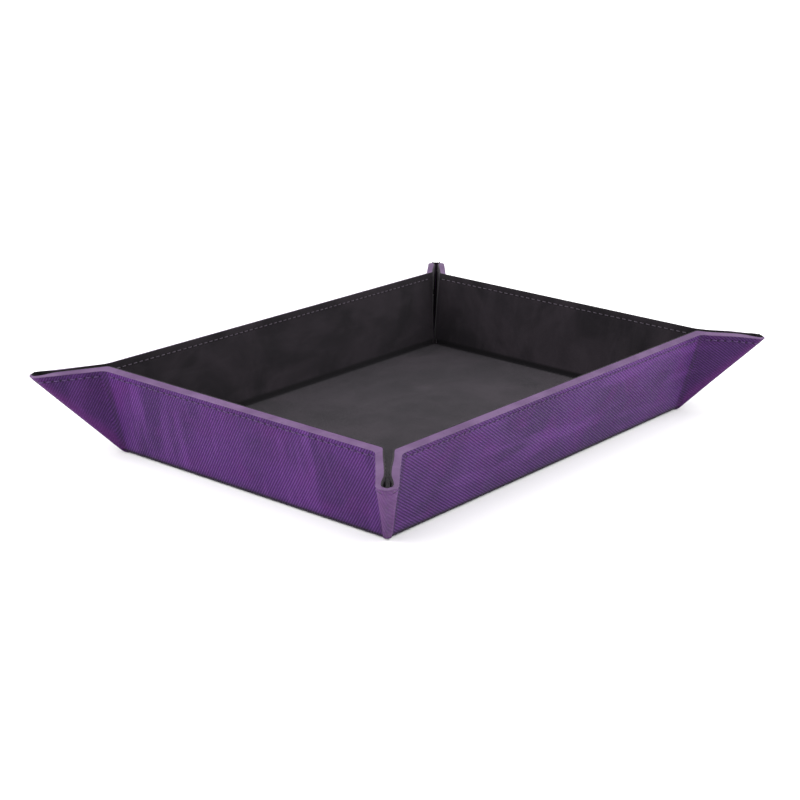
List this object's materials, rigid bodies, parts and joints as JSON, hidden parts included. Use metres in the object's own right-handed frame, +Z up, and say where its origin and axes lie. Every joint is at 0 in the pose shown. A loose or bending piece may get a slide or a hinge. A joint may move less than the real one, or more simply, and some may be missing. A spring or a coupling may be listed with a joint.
{
  "type": "folding dice tray",
  "caption": "Rectangular velvet-lined dice tray that folds up from a flat sheet, with outward-leaning walls and corners pinched into ears held by hidden magnets.",
  "frame": {"origin": "on the resting surface, under the middle of the floor panel", "axes": "+X along the long side, +Y along the short side, +Z up; shown folded up into a tray"},
  "size_m": [0.2938, 0.2178, 0.0409],
  "materials": {
    "cover": "diagonal-ribbed synthetic leather, mottled purple, satin",
    "lining": "short-pile velvet, near-black with smoky mottling",
    "edge": "smooth painted edge, mauve, satin",
    "board": "plain greyboard stiffener",
    "magnet": "bright plated disc magnet"
  },
  "bodies": {
    "floor": {"floor_cover": "cover", "floor_board": "board", "floor_lining": "lining"},
    "front_wall": {"front_wall_cover": "cover", "front_wall_board": "board", "front_wall_lining": "lining", "front_wall_edge": "edge"},
    "back_wall": {"back_wall_cover": "cover", "back_wall_board": "board", "back_wall_lining": "lining", "back_wall_edge": "edge"},
    "left_wall": {"left_wall_cover": "cover", "left_wall_board": "board", "left_wall_lining": "lining", "left_wall_edge": "edge"},
    "right_wall": {"right_wall_cover": "cover", "right_wall_board": "board", "right_wall_lining": "lining", "right_wall_edge": "edge"},
    "front_left_ear_front": {"front_left_ear_front_cover": "cover", "front_left_ear_front_board": "board", "front_left_ear_front_lining": "lining", "front_left_ear_front_edge": "edge", "front_left_ear_front_magnet": "magnet"},
    "front_left_ear_left": {"front_left_ear_left_cover": "cover", "front_left_ear_left_board": "board", "front_left_ear_left_lining": "lining", "front_left_ear_left_edge": "edge", "front_left_ear_left_magnet": "magnet"},
    "front_right_ear_front": {"front_right_ear_front_cover": "cover", "front_right_ear_front_board": "board", "front_right_ear_front_lining": "lining", "front_right_ear_front_edge": "edge", "front_right_ear_front_magnet": "magnet"},
    "front_right_ear_right": {"front_right_ear_right_cover": "cover", "front_right_ear_right_board": "board", "front_right_ear_right_lining": "lining", "front_right_ear_right_edge": "edge", "front_right_ear_right_magnet": "magnet"},
    "back_left_ear_back": {"back_left_ear_back_cover": "cover", "back_left_ear_back_board": "board", "back_left_ear_back_lining": "lining", "back_left_ear_back_edge": "edge", "back_left_ear_back_magnet": "magnet"},
    "back_left_ear_left": {"back_left_ear_left_cover": "cover", "back_left_ear_left_board": "board", "back_left_ear_left_lining": "lining", "back_left_ear_left_edge": "edge", "back_left_ear_left_magnet": "magnet"},
    "back_right_ear_back": {"back_right_ear_back_cover": "cover", "back_right_ear_back_board": "board", "back_right_ear_back_lining": "lining", "back_right_ear_back_edge": "edge", "back_right_ear_back_magnet": "magnet"},
    "back_right_ear_right": {"back_right_ear_right_cover": "cover", "back_right_ear_right_board": "board", "back_right_ear_right_lining": "lining", "back_right_ear_right_edge": "edge", "back_right_ear_right_magnet": "magnet"}
  },
  "joints": [
    {"name": "front_wall_fold", "type": "hinge", "parent": "floor", "child": "front_wall", "pos_m": [0, -0.07596, 0.0019], "axis": [1, 0, 0], "range_deg": [0, 78]},
    {"name": "back_wall_fold", "type": "hinge", "parent": "floor", "child": "back_wall", "pos_m": [0, 0.07596, 0.0019], "axis": [-1, 0, 0], "range_deg": [0, 78]},
    {"name": "left_wall_fold", "type": "hinge", "parent": "floor", "child": "left_wall", "pos_m": [-0.11396, 0, 0.0019], "axis": [0, -1, 0], "range_deg": [0, 78]},
    {"name": "right_wall_fold", "type": "hinge", "parent": "floor", "child": "right_wall", "pos_m": [0.11396, 0, 0.0019], "axis": [0, 1, 0], "range_deg": [0, 78]},
    {"name": "front_left_ear_front_crease", "type": "hinge", "parent": "front_wall", "child": "front_left_ear_front", "pos_m": [-0.11342, -0.08022, 0.02195], "axis": [0.2036, 0.2036, -0.9577], "range_deg": [0, 46.24]},
    {"name": "front_left_ear_left_fold", "type": "hinge", "parent": "front_left_ear_front", "child": "front_left_ear_left", "pos_m": [-0.13065, -0.09265, 0.02012], "axis": [-0.5416, -0.5416, 0.643], "range_deg": [0, 179.5]},
    {"name": "front_right_ear_front_crease", "type": "hinge", "parent": "front_wall", "child": "front_right_ear_front", "pos_m": [0.11342, -0.08022, 0.02195], "axis": [0.2036, -0.2036, 0.9577], "range_deg": [0, 46.24]},
    {"name": "front_right_ear_right_fold", "type": "hinge", "parent": "front_right_ear_front", "child": "front_right_ear_right", "pos_m": [0.13065, -0.09265, 0.02012], "axis": [-0.5416, 0.5416, -0.643], "range_deg": [0, 179.5]},
    {"name": "back_left_ear_back_crease", "type": "hinge", "parent": "back_wall", "child": "back_left_ear_back", "pos_m": [-0.11342, 0.08022, 0.02195], "axis": [-0.2036, 0.2036, 0.9577], "range_deg": [0, 46.24]},
    {"name": "back_left_ear_left_fold", "type": "hinge", "parent": "back_left_ear_back", "child": "back_left_ear_left", "pos_m": [-0.13065, 0.09265, 0.02012], "axis": [0.5416, -0.5416, -0.643], "range_deg": [0, 179.5]},
    {"name": "back_right_ear_back_crease", "type": "hinge", "parent": "back_wall", "child": "back_right_ear_back", "pos_m": [0.11342, 0.08022, 0.02195], "axis": [-0.2036, -0.2036, -0.9577], "range_deg": [0, 46.24]},
    {"name": "back_right_ear_right_fold", "type": "hinge", "parent": "back_right_ear_back", "child": "back_right_ear_right", "pos_m": [0.13065, 0.09265, 0.02012], "axis": [0.5416, 0.5416, 0.643], "range_deg": [0, 179.5]}
  ],
  "couplings": [
    {"joint": "back_wall_fold", "follows": "front_wall_fold", "ratio": 1},
    {"joint": "left_wall_fold", "follows": "front_wall_fold", "ratio": 1},
    {"joint": "right_wall_fold", "follows": "front_wall_fold", "ratio": 1},
    {"joint": "front_left_ear_front_crease", "follows": "front_wall_fold", "ratio": 0.59281},
    {"joint": "front_left_ear_left_fold", "follows": "front_wall_fold", "ratio": 2.3013},
    {"joint": "front_right_ear_front_crease", "follows": "front_wall_fold", "ratio": 0.59281},
    {"joint": "front_right_ear_right_fold", "follows": "front_wall_fold", "ratio": 2.3013},
    {"joint": "back_left_ear_back_crease", "follows": "front_wall_fold", "ratio": 0.59281},
    {"joint": "back_left_ear_left_fold", "follows": "front_wall_fold", "ratio": 2.3013},
    {"joint": "back_right_ear_back_crease", "follows": "front_wall_fold", "ratio": 0.59281},
    {"joint": "back_right_ear_right_fold", "follows": "front_wall_fold", "ratio": 2.3013}
  ]
}
